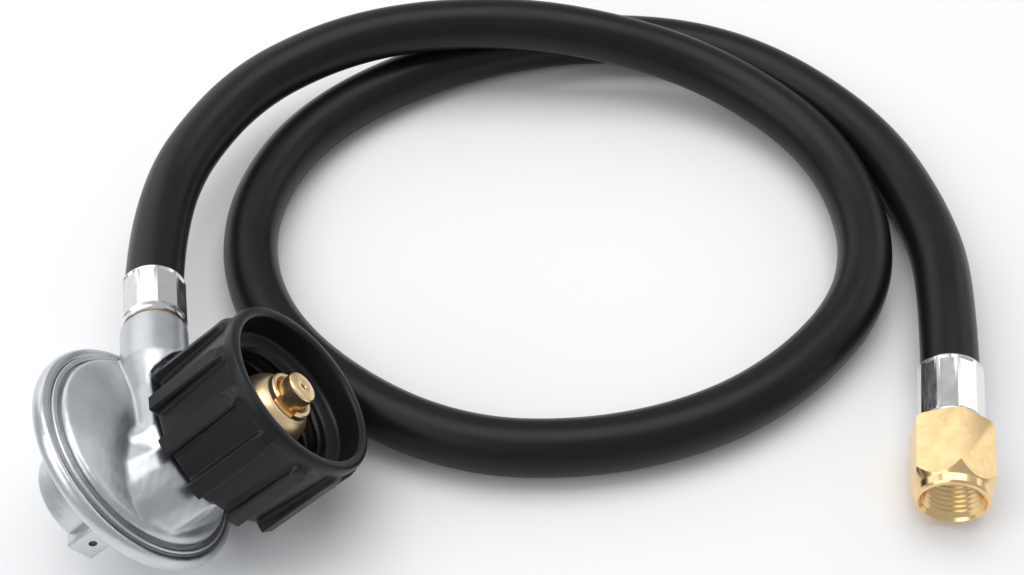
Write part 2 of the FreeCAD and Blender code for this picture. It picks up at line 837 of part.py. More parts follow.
def hose_path():
    """Straight runs of the route joined by tangent arcs, as one wire."""
    points = [FreeCAD.Vector(*point) for point in HOSE_ROUTE]
    edges = []
    reached = points[0]
    for before, corner, after in zip(points, points[1:], points[2:]):
        radius = arc_radius(before, corner, after)
        incoming = (corner - before).normalize()
        outgoing = (after - corner).normalize()
        half_turn = incoming.getAngle(outgoing) / 2
        setback = radius * math.tan(half_turn)
        inward = (outgoing - incoming).normalize()
        start = corner - incoming * setback
        finish = corner + outgoing * setback
        middle = corner + inward * (radius / math.cos(half_turn) - radius)
        edges.append(Part.LineSegment(reached, start).toShape())
        edges.append(Part.Arc(start, middle, finish).toShape())
        reached = finish
        print(f"hose bend at {tuple(round(value) for value in corner)}: radius {radius:.0f} mm")
    edges.append(Part.LineSegment(reached, points[-1]).toShape())
    return Part.Wire(edges)


def hose():
    """Rubber hose swept along its route, with its bore."""
    path = hose_path()
    start = FreeCAD.Vector(*HOSE_ROUTE[0])
    along = FreeCAD.Vector(*HOSE_ROUTE[1]) - start
    tubes = []
    for radius in (size("hose_radius"), size("hose_bore")):
        circle = Part.Wire(Part.makeCircle(radius, start, along))
        tubes.append(path.makePipeShell([circle], True, False))
    item = doc.addObject("Part::Feature", "hose")
    item.Shape = tubes[0].cut(tubes[1])
    item.Label = "hose"
    section = math.pi * (size("hose_radius") ** 2 - size("hose_bore") ** 2)
    print(f"hose length {path.Length:.1f} mm, volume {item.Shape.Volume:.0f}, section x length {section * path.Length:.0f}")
    return item


SUB_PARTS = [
    regulator_body, bonnet, vent_screen, closing_cap, adjusting_screw, main_spring, diaphragm,
    diaphragm_plate, diaphragm_stem, valve_lever, lever_pin, lever_bracket, bracket_screws,
    seat_holder, seat_pad, inlet_orifice, inlet_nipple, nose_tip, inlet_filter, limiter_poppet,
    limiter_spring, thermal_bushing, nut_washer, coupling_nut, outlet_stem, ferrule_regulator_end,
    hose, ferrule_outlet_end, stem_outlet_end, swivel_nut,
]


def check(parts):
    """Stop if an object failed to recompute or a sub-part's solid is not sound."""
    for item in doc.Objects:
        if "Invalid" in item.State or "Error" in item.State:
            raise RuntimeError(f"{item.Label} failed to recompute: {item.State}")
    for item in parts:
        if item.Shape.isNull() or not item.Shape.isValid() or not item.Shape.Solids:
            raise RuntimeError(f"{item.Label} is not a valid solid")


fill_sheet()
parts = [build() for build in SUB_PARTS]
doc.recompute()
check(parts)
os.makedirs("parts", exist_ok=True)
for item in parts:
    item.Shape.exportStep(f"parts/{item.Label}.step")
    print(f"{item.Label}: {len(item.Shape.Solids)} solid, {item.Shape.Volume:.0f} mm3, lowest {item.Shape.BoundBox.ZMin:.2f}")
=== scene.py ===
import math

import bpy
from mathutils import Matrix, Vector


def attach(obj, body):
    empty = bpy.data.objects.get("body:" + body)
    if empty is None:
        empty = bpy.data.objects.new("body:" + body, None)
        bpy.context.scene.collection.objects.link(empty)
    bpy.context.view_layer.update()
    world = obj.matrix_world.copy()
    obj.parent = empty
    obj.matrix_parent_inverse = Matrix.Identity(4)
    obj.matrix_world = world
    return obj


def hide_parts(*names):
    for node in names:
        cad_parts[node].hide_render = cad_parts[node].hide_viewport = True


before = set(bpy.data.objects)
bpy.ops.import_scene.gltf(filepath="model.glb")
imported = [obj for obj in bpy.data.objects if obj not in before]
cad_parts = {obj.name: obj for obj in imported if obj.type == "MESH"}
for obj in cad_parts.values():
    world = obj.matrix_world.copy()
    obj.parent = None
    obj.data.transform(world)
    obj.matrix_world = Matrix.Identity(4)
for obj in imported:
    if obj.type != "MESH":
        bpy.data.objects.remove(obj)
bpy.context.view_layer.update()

# Pieces are shaped in millimetres along their own axis and then placed in the frame, in metres.
MM = Matrix.Scale(0.001, 4)
REGULATOR = (
    Matrix.Translation((-0.01389, -0.01161, 0.02593))
    @ Matrix.Rotation(math.radians(16), 4, "Z")
    @ Matrix.Rotation(math.radians(53), 4, "Y")
    @ MM
)
NUT_AXIS = Matrix.Translation((14.7, 0, 0))
INLET = REGULATOR @ NUT_AXIS
OUTLET = (
    REGULATOR
    @ Matrix.Translation((-2, 0, 7))
    @ Matrix.Rotation(math.radians(-9), 4, "Z")
    @ Matrix.Rotation(math.radians(-90), 4, "X")
)
FREE_END = (
    Matrix.Translation((0.1868, 0.0233, 0.011))
    @ Matrix.Rotation(math.radians(-9.2), 4, "Z")
    @ Matrix.Rotation(math.radians(90), 4, "X")
    @ MM
)
NUT = INLET @ Matrix.Rotation(math.radians(-6.5), 4, "Z")


# --- camera, light and floor ---

def set_camera():
    """Camera in front of the coil, looking down on it."""
    camera = bpy.data.objects.new("camera", bpy.data.cameras.new("camera"))
    bpy.context.scene.collection.objects.link(camera)
    aim = Vector((0.0736, 0.0613, 0.0))
    distance, elevation = 0.442, math.radians(50)
    camera.location = aim + distance * Vector((0, -math.cos(elevation), math.sin(elevation)))
    camera.rotation_euler = (math.pi / 2 - elevation, 0, 0)
    camera.data.lens = 55.7
    camera.data.clip_start = 0.01
    bpy.context.scene.camera = camera


def softbox(name, place, aim, size, power):
    """Area light that faces a point."""
    light = bpy.data.objects.new(name, bpy.data.lights.new(name, "AREA"))
    bpy.context.scene.collection.objects.link(light)
    light.location = place
    light.rotation_euler = (Vector(aim) - Vector(place)).to_track_quat("-Z", "Y").to_euler()
    light.data.shape = "RECTANGLE"
    light.data.size, light.data.size_y = size
    light.data.energy = power


def set_light():
    centre = (0.07, 0.06, 0.0)
    softbox("top_softbox", (0.05, 0.3, 1.1), centre, (1.2, 0.8), 6.5)
    softbox("key_softbox", (-0.65, -0.3, 0.75), centre, (0.9, 0.7), 3.2)
    softbox("back_left_softbox", (-0.57, 0.82, 0.42), centre, (0.9, 0.7), 1.75)
    softbox("back_right_softbox", (1.09, 0.55, 0.55), centre, (0.8, 0.6), 1.2)
    world = bpy.data.worlds.new("studio")
    world.use_nodes = True
    sky = world.node_tree.nodes["Background"]
    sky.inputs["Color"].default_value = (0.93, 0.96, 1.0, 1)
    sky.inputs["Strength"].default_value = 0.5
    bpy.context.scene.world = world
    bpy.context.scene.view_settings.view_transform = "Standard"


# --- finishes ---

class Signal:
    """A value that varies over a surface. Python's operators on it add Math nodes."""

    def __init__(self, finish, socket):
        self.finish, self.socket = finish, socket

    def maths(self, operation, first, second):
        return self.finish.node("ShaderNodeMath", {"operation": operation}, {0: first, 1: second})

    def __add__(self, other):
        return self.maths("ADD", self, other)

    def __mul__(self, other):
        return self.maths("MULTIPLY", self, other)

    def __sub__(self, other):
        return self.maths("SUBTRACT", self, other)

    def __rsub__(self, other):
        return self.maths("SUBTRACT", other, self)

    __radd__ = __add__
    __rmul__ = __mul__


class Finish:
    """A material built of procedural nodes round one Principled shader."""

    def __init__(self, name, **constants):
        self.material = bpy.data.materials.new(name)
        self.material.use_nodes = True
        self.tree = self.material.node_tree
        self.shader = self.tree.nodes["Principled BSDF"]
        for socket, value in constants.items():
            self.shader.inputs[socket.replace("_", " ")].default_value = value

    def node(self, kind, settings=None, sockets=None, output=0):
        """Adds a node: its settings first, then the values or links of its sockets."""
        made = self.tree.nodes.new(kind)
        for name, value in (settings or {}).items():
            setattr(made, name, value)
        for name, value in (sockets or {}).items():
            self.feed(made.inputs[name], value)
        return Signal(self, made.outputs[output])

    def feed(self, socket, value):
        if isinstance(value, Signal):
            self.tree.links.new(value.socket, socket)
        else:
            socket.default_value = value

    def own_space(self, place):
        """Coordinates in millimetres along a piece's own axis."""
        inverse = place.inverted()
        coordinates = self.node("ShaderNodeTexCoord", output="Object")
        return self.node("ShaderNodeMapping", None, {
            "Vector": coordinates,
            "Location": inverse.translation,
            "Rotation": inverse.to_euler(),
            "Scale": inverse.to_scale(),
        })

    def noise(self, space, scale, detail=3.0, roughness=0.55, stretch=(1, 1, 1)):
        """Noise from 0 to 1, with so many lumps to a millimetre."""
        stretched = self.node("ShaderNodeMapping", None, {"Vector": space, "Scale": stretch})
        return self.node("ShaderNodeTexNoise", None, {
            "Vector": stretched, "Scale": scale, "Detail": detail, "Roughness": roughness,
        })

    def turned_place(self, space):
        """Distance from the axis, and height along it."""
        flat = self.node("ShaderNodeVectorMath", {"operation": "MULTIPLY"}, {0: space, 1: (1, 1, 0)})
        radius = self.node("ShaderNodeVectorMath", {"operation": "LENGTH"}, {0: flat}, output="Value")
        height = self.node("ShaderNodeSeparateXYZ", None, {"Vector": space}, output="Z")
        return radius, height

    def speckle(self, space, scale, reach):
        """Dots of so many to a millimetre, 1 at their middles."""
        cells = self.node("ShaderNodeTexVoronoi", None, {"Vector": space, "Scale": scale})
        return self.node("ShaderNodeMapRange", {"clamp": True}, {
            0: cells, 1: 0.0, 2: reach, 3: 1.0, 4: 0.0,
        })

    def spread(self, signal, low, high, to_low, to_high):
        """Maps a span of a signal to another span, and holds it there."""
        return self.node("ShaderNodeMapRange", {"clamp": True}, {
            0: signal, 1: low, 2: high, 3: to_low, 4: to_high,
        })

    def blend(self, factor, first, second):
        """Mixes two colours."""
        return self.node("ShaderNodeMix", {"data_type": "RGBA"}, {
            0: factor,
            6: first if isinstance(first, Signal) else (*first, 1),
            7: second if isinstance(second, Signal) else (*second, 1),
        }, output=2)

    def bump(self, height, depth, under=None):
        """Raises the surface by a height of so many millimetres."""
        sockets = {"Height": height, "Distance": depth / 1000, "Strength": 1.0}
        if under:
            sockets["Normal"] = under
        return self.node("ShaderNodeBump", None, sockets)

    def wear(self, **sockets):
        """Joins what varies to the shader."""
        for name, value in sockets.items():
            self.feed(self.shader.inputs[name.replace("_", " ")], value)
        return self.material


def cast_zinc():
    """Tumbled zinc casting: cloudy sheen, slow waves of the die, fine grain and a few pits."""
    metal = Finish("cast_zinc", Metallic=1.0, IOR=2.2)
    space = metal.own_space(REGULATOR)
    clouds = metal.noise(space, 0.09, 4.0)
    grain = metal.noise(space, 3.2, 4.0, 0.65)
    waves = metal.noise(space, 0.16, 2.0)
    pits = metal.speckle(space, 0.9, 0.09)
    scuffs = metal.noise(space, 0.5, 5.0, 0.7, (1, 0.16, 0.4))
    tone = metal.spread(clouds + scuffs * 0.35, 0.45, 0.95, 0.0, 1.0)
    colour = metal.blend(tone, (0.52, 0.535, 0.555), (0.68, 0.69, 0.70))
    dull = metal.spread(grain * 0.35 + clouds, 0.4, 1.0, 0.29, 0.43)
    normal = metal.bump(waves, 0.22)
    normal = metal.bump(grain * 0.8 - pits, 0.016, normal)
    return metal.wear(Base_Color=colour, Roughness=dull + pits * 0.2, Normal=normal)


def spun_zinc():
    """Pressed and rolled cover: finer sheen with faint rings from the rolling."""
    metal = Finish("spun_zinc", Metallic=1.0, IOR=2.2)
    space = metal.own_space(REGULATOR)
    clouds = metal.noise(space, 0.13, 4.0)
    sideways = metal.node("ShaderNodeSeparateXYZ", None, {"Vector": space}, output="X")
    radius, height = metal.turned_place(space)
    ring_place = metal.node("ShaderNodeCombineXYZ", None, {
        "X": radius * 3, "Y": height * 3, "Z": sideways * 0.05,
    })
    rings = metal.noise(ring_place, 1.0, 3.0)
    colour = metal.blend(clouds, (0.54, 0.555, 0.58), (0.70, 0.71, 0.725))
    dull = metal.spread(clouds + rings * 0.4, 0.4, 1.1, 0.23, 0.38)
    normal = metal.bump(metal.noise(space, 0.2, 2.0), 0.15)
    return metal.wear(Base_Color=colour, Roughness=dull, Normal=metal.bump(rings, 0.006, normal))


def bright_nickel(name, place):
    """Nickel plate over the crimped sleeve, streaked along the flats by the dies."""
    metal = Finish(name, Metallic=1.0, IOR=2.4)
    space = metal.own_space(place)
    streaks = metal.noise(space, 1.6, 4.0, 0.6, (1, 1, 0.07))
    haze = metal.noise(space, 0.35, 3.0)
    colour = metal.blend(haze, (0.80, 0.785, 0.76), (0.90, 0.89, 0.87))
    dull = metal.spread(streaks * 0.6 + haze * 0.5, 0.3, 0.8, 0.1, 0.26)
    return metal.wear(Base_Color=colour, Roughness=dull, Normal=metal.bump(streaks, 0.05))


BRASS_LIGHT = (0.94, 0.69, 0.37)
BRASS_DARK = (0.87, 0.60, 0.28)


def turned_brass(name, place, light=BRASS_LIGHT, dark=BRASS_DARK, gloss=(0.14, 0.27)):
    """Yellow brass from the lathe, with fine feed rings and a faint tarnish. Gloss is its roughness."""
    metal = Finish(name, Metallic=1.0, IOR=1.8)
    space = metal.own_space(place)
    radius, height = metal.turned_place(space)
    ring_place = metal.node("ShaderNodeCombineXYZ", None, {"X": radius * 4, "Y": height * 4})
    rings = metal.noise(ring_place, 1.2, 2.0)
    tarnish = metal.noise(space, 0.3, 4.0, 0.6)
    colour = metal.blend(metal.spread(tarnish, 0.35, 0.75, 0.0, 1.0), light, dark)
    dull = metal.spread(rings * 0.5 + tarnish * 0.5, 0.3, 0.7, *gloss)
    return metal.wear(Base_Color=colour, Roughness=dull, Normal=metal.bump(rings, 0.014))


def nut_plastic():
    """Charcoal moulded plastic with a spark-eroded grain, a little polished by hands."""
    plastic = Finish("nut_plastic", Specular_IOR_Level=0.27)
    space = plastic.own_space(NUT)
    grain = plastic.noise(space, 4.0, 3.0, 0.6)
    handling = plastic.noise(space, 0.12, 3.0)
    colour = plastic.blend(handling, (0.0065, 0.0068, 0.0078), (0.011, 0.0115, 0.013))
    dull = plastic.spread(handling + grain * 0.2, 0.35, 0.85, 0.38, 0.26)
    return plastic.wear(Base_Color=colour, Roughness=dull, Normal=plastic.bump(grain, 0.022))


def hose_rubber():
    """Black extruded rubber, satin, with a fine skin and a little dust."""
    rubber = Finish("hose_rubber", Specular_IOR_Level=0.24)
    space = rubber.own_space(MM)
    skin = rubber.noise(space, 2.2, 4.0, 0.6)
    slow = rubber.noise(space, 0.06, 3.0)
    dust = rubber.speckle(space, 0.55, 0.07)
    colour = rubber.blend(slow, (0.0055, 0.0055, 0.006), (0.0085, 0.0085, 0.009))
    colour = rubber.blend(dust * 0.25, colour, (0.09, 0.09, 0.09))
    dull = rubber.spread(slow + skin * 0.3, 0.4, 0.95, 0.30, 0.41)
    normal = rubber.bump(rubber.noise(space, 0.22, 2.0), 0.06)
    return rubber.wear(Base_Color=colour, Roughness=dull, Normal=rubber.bump(skin, 0.012, normal))


def moulded(name, place, colour, darker):
    """Plain moulded plastic or rubber of the inner pieces, with flow marks and grain."""
    plastic = Finish(name)
    space = plastic.own_space(place)
    flow = plastic.noise(space, 0.3, 4.0)
    grain = plastic.noise(space, 5.0, 2.0)
    dull = plastic.spread(flow, 0.3, 0.7, 0.42, 0.6)
    tint = plastic.blend(flow, colour, darker)
    return plastic.wear(Base_Color=tint, Roughness=dull, Normal=plastic.bump(grain, 0.015))


def plated_steel():
    """Zinc-plated spring and stamped steel, with spangled plating."""
    metal = Finish("plated_steel", Metallic=1.0)
    space = metal.own_space(REGULATOR)
    spangle = metal.noise(space, 1.5, 3.0)
    colour = metal.blend(spangle, (0.55, 0.56, 0.56), (0.70, 0.70, 0.68))
    dull = metal.spread(spangle, 0.3, 0.7, 0.24, 0.4)
    return metal.wear(Base_Color=colour, Roughness=dull, Normal=metal.bump(spangle, 0.01))


def pale_floor():
    floor = Finish("pale_floor", Roughness=0.6)
    space = floor.own_space(MM)
    shade = floor.noise(space, 0.01, 2.0)
    return floor.wear(Base_Color=floor.blend(shade, (0.90, 0.90, 0.90), (0.93, 0.93, 0.93)))


# --- modelling tools ---

def start_piece(name, primitive, **settings):
    """Adds a primitive with nothing else selected and names it."""
    bpy.ops.object.select_all(action="DESELECT")
    primitive(**settings)
    piece = bpy.context.active_object
    piece.name = piece.data.name = name
    return piece


def edit(piece, select="DESELECT"):
    """Opens a piece in edit mode, with all of it selected or none."""
    bpy.ops.object.select_all(action="DESELECT")
    piece.select_set(True)
    bpy.context.view_layer.objects.active = piece
    bpy.ops.object.mode_set(mode="EDIT")
    bpy.ops.mesh.select_mode(type="VERT")
    bpy.ops.mesh.select_all(action=select)


def leave_edit():
    bpy.ops.object.mode_set(mode="OBJECT")


def pick(piece, kind, wanted):
    """Selects the vertices, edges or faces that a test says yes to. Called in edit mode."""
    leave_edit()
    mesh = piece.data
    for group in (mesh.vertices, mesh.edges, mesh.polygons):
        for element in group:
            element.select = False
    for element in getattr(mesh, kind):
        element.select = wanted(element)
    bpy.ops.object.mode_set(mode="EDIT")


def edge_ends(piece, edge):
    return [piece.data.vertices[index].co for index in edge.vertices]


def spun(name, outline, steps=144):
    """Closed outline of (radius, height) points spun round the axis."""
    piece = start_piece(name, bpy.ops.mesh.primitive_plane_add, size=1)
    edit(piece, "SELECT")
    bpy.ops.mesh.merge(type="CENTER")
    radius, height = outline[0]
    bpy.ops.transform.translate(value=(radius, 0, height))
    for before, after in zip(outline, outline[1:]):
        step = (after[0] - before[0], 0, after[1] - before[1])
        bpy.ops.mesh.extrude_vertices_move(TRANSFORM_OT_translate={"value": step})
    if outline[0][0] > 0 or outline[-1][0] > 0:
        pick(piece, "vertices", lambda vertex: vertex.index in (0, len(outline) - 1))
        bpy.ops.mesh.edge_face_add()
    bpy.ops.mesh.select_all(action="SELECT")
    bpy.ops.mesh.spin(steps=steps, angle=math.tau, center=(0, 0, 0), axis=(0, 0, 1))
    bpy.ops.mesh.select_all(action="SELECT")
    bpy.ops.mesh.remove_doubles(threshold=0.0005)
    bpy.ops.mesh.normals_make_consistent(inside=False)
    leave_edit()
    return piece


def bow(start, end, bulge, count=10):
    """Points of a shallow bow from one outline point to another, standing out by a bulge."""
    (r0, z0), (r1, z1) = start, end
    across, along = r1 - r0, z1 - z0
    span = math.hypot(across, along)
    points = []
    for index in range(1, count):
        share = index / count
        lift = 4 * bulge * share * (1 - share)
        points.append((
            r0 + across * share + lift * along / span,
            z0 + along * share - lift * across / span,
        ))
    return [start, *points, end]


def modify(piece, kind, **settings):
    """Adds a modifier, sets it and applies it."""
    bpy.ops.object.select_all(action="DESELECT")
    piece.select_set(True)
    bpy.context.view_layer.objects.active = piece
    modifier = piece.modifiers.new(kind.lower(), kind)
    for name, value in settings.items():
        setattr(modifier, name, value)
    bpy.ops.object.modifier_apply(modifier=modifier.name)
    return piece


def soften(piece, width, segments=3, angle=28):
    """Rounds every edge sharper than an angle."""
    return modify(
        piece, "BEVEL", width=width, segments=segments, limit_method="ANGLE",
        angle_limit=math.radians(angle),
    )


def combine(piece, tools, operation):
    for tool in tools:
        modify(piece, "BOOLEAN", object=tool, operation=operation, solver="EXACT")
        bpy.data.objects.remove(tool)
    return piece


def join(piece, *others):
    bpy.ops.object.select_all(action="DESELECT")
    for other in (piece, *others):
        other.select_set(True)
    bpy.context.view_layer.objects.active = piece
    bpy.ops.object.join()
    return piece


def moved(piece, matrix):
    """Sets a place and applies it to the mesh."""
    bpy.ops.object.select_all(action="DESELECT")
    piece.select_set(True)
    bpy.context.view_layer.objects.active = piece
    piece.matrix_world = matrix
    bpy.ops.object.transform_apply(location=True, rotation=True, scale=True)
    return piece


def rod(name, radius, bottom, top, sides=64, place=None):
    """Plain bar about the axis, used to cut or to build up."""
    bar = start_piece(
        name, bpy.ops.mesh.primitive_cylinder_add, vertices=sides, radius=radius,
        depth=top - bottom, location=(0, 0, (bottom + top) / 2),
    )
    bpy.ops.object.transform_apply(location=True, rotation=True, scale=True)
    return moved(bar, place) if place else bar


def block(name, low, high, place=None):
    """Rectangular block between two corners."""
    size = [b - a for a, b in zip(low, high)]
    middle = [(a + b) / 2 for a, b in zip(low, high)]
    cube = start_piece(name, bpy.ops.mesh.primitive_cube_add, size=1, location=middle, scale=size)
    bpy.ops.object.transform_apply(location=True, rotation=True, scale=True)
    return moved(cube, place) if place else cube


def sloping_block(name, bottom, top, corners):
    """Block whose side faces lean from each foot point to the top point above it."""
    solid = start_piece(
        name, bpy.ops.mesh.primitive_circle_add, vertices=len(corners), radius=20, fill_type="NGON",
    )
    edit(solid)
    for index, (foot, _) in enumerate(corners):
        pick(solid, "vertices", lambda vertex: vertex.index == index)
        start = solid.data.vertices[index].co
        bpy.ops.transform.translate(value=(foot[0] - start.x, foot[1] - start.y, bottom))
    bpy.ops.mesh.select_all(action="SELECT")
    bpy.ops.mesh.extrude_region_move(TRANSFORM_OT_translate={"value": (0, 0, top - bottom)})
    for foot, head in corners:
        above = Vector((*foot, top))
        pick(solid, "vertices", lambda vertex: (vertex.co - above).length < 0.01)
        bpy.ops.transform.translate(value=(head[0] - foot[0], head[1] - foot[1], 0))
    bpy.ops.mesh.select_all(action="SELECT")
    bpy.ops.mesh.normals_make_consistent(inside=False)
    leave_edit()
    return solid


def thread(name, radius, depth, pitch, bottom, turns, steps=60):
    """Ridge of an inside thread: a small section wound up along the axis."""
    ridge = start_piece(
        name, bpy.ops.mesh.primitive_circle_add, vertices=4, radius=1, fill_type="NOTHING",
        location=(radius, 0, bottom), rotation=(math.pi / 2, 0, 0), scale=(depth, pitch * 0.46, 1),
    )
    bpy.ops.object.transform_apply(location=True, rotation=True, scale=True)
    count = round(steps * turns)
    modify(
        ridge, "SCREW", axis="Z", angle=math.tau * turns, screw_offset=pitch * turns,
        steps=count, render_steps=count, use_merge_vertices=False,
    )
    edit(ridge, "SELECT")
    bpy.ops.mesh.remove_doubles(threshold=0.0005)
    bpy.ops.mesh.select_all(action="SELECT")
    bpy.ops.mesh.fill_holes(sides=0)
    bpy.ops.mesh.select_all(action="SELECT")
    bpy.ops.mesh.normals_make_consistent(inside=False)
    leave_edit()
    return ridge


def settle(piece, voxel, rounds):
    """Melts joined solids into one skin and rounds its inner and outer corners."""
    modify(piece, "REMESH", mode="VOXEL", voxel_size=voxel)
    return modify(piece, "SMOOTH", factor=0.5, iterations=rounds)


def hand_over(piece, place, finish, body, slot, *nodes, smooth=35):
    """Puts a finished piece in the frame, on its body and in place of its CAD nodes."""
    moved(piece, place)
    bpy.ops.object.shade_smooth_by_angle(angle=math.radians(smooth))
    piece.data.materials.clear()
    piece.data.materials.append(finish)
    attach(piece, body)
    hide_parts(*nodes)
    return piece


# --- regulator ---

# Corners of the cast block under the coupling nut: each foot point with the top point above it.
BLOCK_CORNERS = [
    ((-5.9, 13.5), (-1.6, 11.2)),
    ((-6.9, 7.3), (-4.4, 6.3)),
    ((-13.4, -4.2), (-5.2, -1)),
    ((-14.1, -12.3), (-4.4, -6.5)),
    ((-12.3, -16.9), (-2.8, -10)),
    ((-9.2, -20.5), (-0.7, -12.6)),
    ((-5.6, -23.0), (1.8, -15.2)),
    ((1.9, -24.0), (5.4, -17.6)),
    ((9.8, -19.6), (9.2, -18.8)),
    ((20, -13), (19.5, -12)),
    ((23.5, 2), (23, 2)),
    ((19, 14), (18.5, 13)),
    ((7, 21), (8, 18.5)),
    ((-2, 20.5), (1.7, 14.9)),
]


def casting():
    """Die casting: dome, sloping block, inlet boss and outlet spout melted together, on a turned ring."""
    dome = spun("casting", [
        (0, 3), (18, 3), (18, 0.4), (22.5, 0.4), (22.5, -0.5), (25.2, -0.5), (25.4, 1.5),
        *bow((24.7, 2.3), (0, 7.0), 1.15, 16),
    ])
    block_top = 11.3
    wedge = sloping_block("wedge", 3.0, block_top, BLOCK_CORNERS)
    soften(wedge, 0.6, 3, 16)
    to_regulator = REGULATOR.inverted()
    spout_place = to_regulator @ OUTLET
    boss = rod("boss", 11.5, 3.2, block_top, 96, NUT_AXIS)
    spout = moved(spun("spout", [
        (0, -12), (2.4, -11), (4.4, -7), (5.5, -2), (6.1, 5), (6.6, 11), (7.6, 16.5), (8.4, 21),
        (8.4, 34.4), (0, 34.4),
    ], 96), spout_place)
    combine(spout, [
        rod("nut_relief", 25, 11.0, 45, 96, NUT_AXIS),
        rod("rim_relief", 30.4, -12, 0.3, 96),
    ], "DIFFERENCE")
    join(dome, wedge, boss, spout)
    settle(dome, 0.33, 20)
    passage = spout_place @ Matrix.Translation((0, 0, 12)) @ Matrix.Rotation(math.pi / 2, 4, "X")
    combine(dome, [
        rod("seat_bore", 4.2, 2, 7.2, 48, NUT_AXIS),
        rod("inlet_thread", 6.8, 7.2, 13, 48, NUT_AXIS),
        rod("outlet_passage", 2.8, 8, 23, 32, spout_place),
        rod("outlet_thread", 5.9, 22, 36, 48, spout_place),
        rod("cross_passage", 2.8, -5, 0, 32, passage),
    ], "DIFFERENCE")
    ring = spun("ring", [
        (22.4, -2.2), (28.9, -2.2), (28.9, -0.9), (27.3, -0.9), (27.3, 0.3), (27.0, 0.55), (26.2, 0.6),
        (25.9, 0.35), (25.75, -0.15), (24.6, -0.15), (22.4, -0.15),
    ], 192)
    soften(ring, 0.22)
    join(dome, ring)
    return hand_over(dome, REGULATOR, cast_zinc(), "regulator", "casting", "regulator_body")


def cover():
    """Back cover: rolled rim, shoulder, spring tower and the drilled vent boss."""
    shell = spun("cover", [
        (27.4, -0.9), (27.4, -0.25), (27.7, 0), (28.7, 0), (29.35, -0.25), (29.8, -0.75), (30, -1.4),
        (30, -2.8), (29.75, -3.6), (29.2, -4.1), (28.4, -4.3), (26.5, -4.4), (15.4, -7.85),
        (14.2, -8.3), (13.5, -9.0), (13.3, -9.9), (13.3, -21.0), (12.5, -21.8), (11.2, -21.8),
        (11.2, -6.6), (22, -4.4), (24, -3.2), (29.1, -3.2), (29.1, -0.9),
    ], 192)
    soften(shell, 0.3, 2, 24)
    across = Matrix.Rotation(math.radians(-9), 4, "Z")
    boss = block("vent_boss", (-3.7, -16.5, -21.8), (3.7, -12.4, -12), across)
    soften(boss, 0.55, 3)
    radial = across @ Matrix.Translation((0, 0, -17)) @ Matrix.Rotation(math.pi / 2, 4, "X")
    combine(boss, [rod("vent_bore", 1.0, 9, 19, 32, radial)], "DIFFERENCE")
    join(shell, boss)
    return hand_over(shell, REGULATOR, spun_zinc(), "regulator", "bonnet_metal", "bonnet")


def nipple():
    """Brass nipple: collar, rounded nose and a slotted crown round the post's foot."""
    body = spun("brass_nipple", [
        (3.2, 7.3), (6.75, 7.3), (6.75, 11), (8.2, 11), (8.2, 20.7), (12.4, 20.7), (12.4, 22.4),
        (10.3, 22.4), (10.3, 25.2), (10.0, 25.8), *bow((9.6, 26.2), (6.8, 33.3), 1.0, 12),
        (6.35, 33.5), (6.3, 34.8), (6.0, 35.2), (5.2, 35.2), (4.95, 34.8), (4.95, 33.3), (5.2, 33.2),
        (5.2, 24), (3.2, 24),
    ], 128)
    crown = Matrix.Rotation(math.radians(56), 4, "Z")
    combine(body, [block("crown_slot", (-9, -2.9, 33.8), (9, 2.9, 38), crown)], "DIFFERENCE")
    soften(body, 0.16, 2)
    brass = turned_brass("nipple_brass", INLET, (0.95, 0.74, 0.45), (0.90, 0.66, 0.36), (0.28, 0.42))
    return hand_over(body, INLET, brass, "regulator", "brass", "inlet_nipple")


def post():
    """Drilled post in the nipple's nose."""
    body = spun("nose_post", [
        (2.4, 31.5), (5.15, 31.5), (5.15, 33.0), (4.2, 33.3), (4.2, 38.4), (3.9, 38.8), (3.4, 39),
        (0.95, 39), (0.8, 38.7), (0.8, 37.4), (2.4, 37.4),
    ], 96)
    soften(body, 0.12, 2)
    brass = turned_brass("post_brass", INLET, (0.96, 0.73, 0.44), (0.90, 0.64, 0.34), (0.24, 0.38))
    return hand_over(body, INLET, brass, "regulator", "brass", "nose_tip")


def grip_nut():
    """Moulded coupling nut: smooth mouth, thread deep inside and twelve grip ribs."""
    body = spun("grip_nut", [
        (8.55, 11.8), (20.3, 11.8), (21.2, 12.3), (21.5, 13.2), (22.7, 35), (23, 36.2), (23, 37.8),
        (22.7, 38.5), (22, 38.8), (20.7, 38.8), (20.1, 38.4), (20, 37.7), (20, 32.1), (19.7, 31.6),
        (16.9, 30.5), (16.65, 30), (16.65, 19.4), (15, 18.4), (15, 14.6), (8.55, 14.6),
    ], 160)
    rib_half_width, rib_end = 2.2, 36.4
    rib = block("rib", (20.7, -rib_half_width, 12.0), (24, rib_half_width, rib_end))
    edit(rib)
    pick(rib, "edges", lambda edge: all(end.z > rib_end - 0.4 and end.x > 23 for end in edge_ends(rib, edge)))
    bpy.ops.mesh.bevel(offset=2.4, segments=5, profile=0.5)
    leave_edit()
    edit(rib)
    pick(rib, "edges", lambda edge: all(
        abs(end.y) > rib_half_width - 0.1 and end.z > rib_end - 2.9 for end in edge_ends(rib, edge)
    ))
    bpy.ops.mesh.bevel(offset=1.1, segments=4)
    leave_edit()
    soften(rib, 0.4, 3, 30)
    rib_count = 12
    ribs = []
    for index in range(rib_count):
        copy = rib.copy()
        copy.data = rib.data.copy()
        bpy.context.scene.collection.objects.link(copy)
        ribs.append(moved(copy, Matrix.Rotation(math.tau * index / rib_count, 4, "Z")))
    bpy.data.objects.remove(rib)
    join(body, thread("acme", 16.9, 1.25, 4.23, 19.5, 2.4), *ribs)
    settle(body, 0.375, 2)
    return hand_over(body, NUT, nut_plastic(), "tank_nut", "black_plastic", "coupling_nut")


# --- hose and its ends ---

